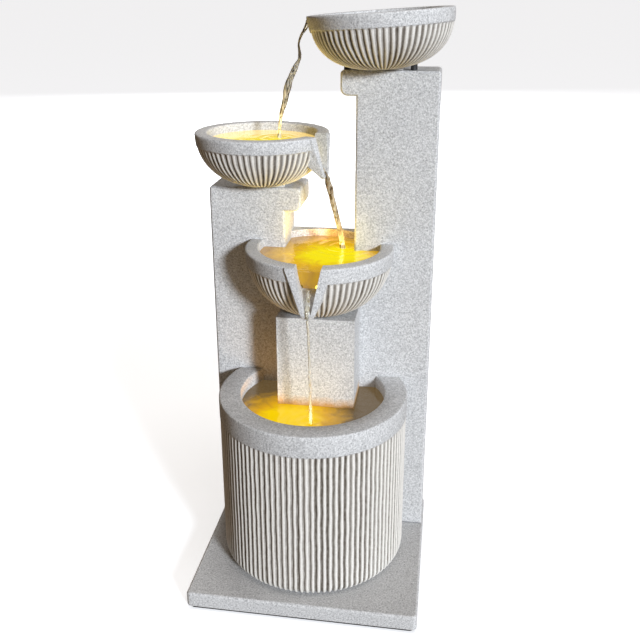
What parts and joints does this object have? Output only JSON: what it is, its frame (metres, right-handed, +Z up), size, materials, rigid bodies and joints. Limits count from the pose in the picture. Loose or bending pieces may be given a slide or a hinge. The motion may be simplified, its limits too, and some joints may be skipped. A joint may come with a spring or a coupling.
{
  "type": "tabletop water fountain",
  "caption": "Cast-stone tabletop fountain: fluted basin and bowls on a stepped back wall, with pump, riser hose and submerged lamps.",
  "frame": {"origin": "centre of the base's underside", "axes": "+Z up, the basin faces -Y, the low column is on -X and the tall column on +X"},
  "size_m": [0.173, 0.1531, 0.3988],
  "materials": {
    "cast_stone": "speckled cast stone, matt, with dark wash in the flutes",
    "foam_pad": "closed-cell foam",
    "white_silicone": "cured sealant",
    "black_rubber": "matt",
    "pump_plastic": "moulded, satin",
    "lamp_lens": "clear amber",
    "magnet": "ferrite and plastic",
    "steel": "plain",
    "vinyl_hose": "translucent vinyl",
    "nickel": "nickel plated",
    "board_green": "solder mask",
    "cover_plastic": "fine-textured grey plastic",
    "cable_jacket": "black jacket"
  },
  "bodies": {
    "fountain": {"base_plate": "cast_stone", "back_wall": "cast_stone", "basin": "cast_stone", "pedestal_block": "cast_stone", "middle_bowl": "cast_stone", "left_bowl": "cast_stone", "top_bowl": "cast_stone", "base_pad": "foam_pad", "left_bowl_seat": "white_silicone", "top_bowl_seat": "white_silicone", "bowl_bumper_1": "black_rubber", "bowl_bumper_2": "black_rubber", "bowl_bumper_3": "black_rubber", "left_lamp_cup": "pump_plastic", "left_lamp_lens": "lamp_lens", "middle_lamp_cup": "pump_plastic", "middle_lamp_lens": "lamp_lens", "basin_lamp_cup": "pump_plastic", "basin_lamp_lens": "lamp_lens", "suction_cup_1": "black_rubber", "suction_cup_2": "black_rubber", "pump_body": "pump_plastic", "outlet_fitting": "pump_plastic", "outlet_nut": "pump_plastic", "driver_box": "pump_plastic", "driver_lid": "pump_plastic", "inlet_socket": "pump_plastic", "pump_shaft": "steel", "riser_hose": "vinyl_hose", "inlet_nut": "nickel", "driver_board": "board_green", "lower_rear_cover": "cover_plastic", "low_column_cover": "cover_plastic", "tall_column_cover": "cover_plastic", "cover_screw_1": "steel", "cover_screw_2": "steel", "cover_screw_3": "steel", "cover_screw_4": "steel", "cover_screw_5": "steel", "cover_screw_6": "steel", "cover_screw_7": "steel", "cover_screw_8": "steel", "pump_lead": "cable_jacket", "basin_lamp_lead": "cable_jacket", "middle_lamp_lead": "cable_jacket", "left_lamp_lead": "cable_jacket", "inlet_lead": "cable_jacket"},
    "pump_rotor": {"pump_rotor": "magnet"},
    "pump_cover": {"pump_cover": "pump_plastic"},
    "flow_dial": {"flow_dial": "pump_plastic"},
    "pump_door": {"pump_door": "cover_plastic"}
  },
  "joints": [
    {"name": "rotor_spin", "type": "hinge", "parent": "fountain", "child": "pump_rotor", "pos_m": [0.004, 0.018, 0.03825], "axis": [1, 0, 0], "continuous": true},
    {"name": "cover_pull", "type": "slide", "parent": "fountain", "child": "pump_cover", "axis": [-1, 0, 0], "range_m": [0, 0.004]},
    {"name": "dial_turn", "type": "hinge", "parent": "pump_cover", "child": "flow_dial", "pos_m": [-0.0164, 0.018, 0.03175], "axis": [1, 0, 0], "range_deg": [0, 90]},
    {"name": "door_pull", "type": "slide", "parent": "fountain", "child": "pump_door", "axis": [0, 1, 0], "range_m": [0, 0.03]}
  ]
}
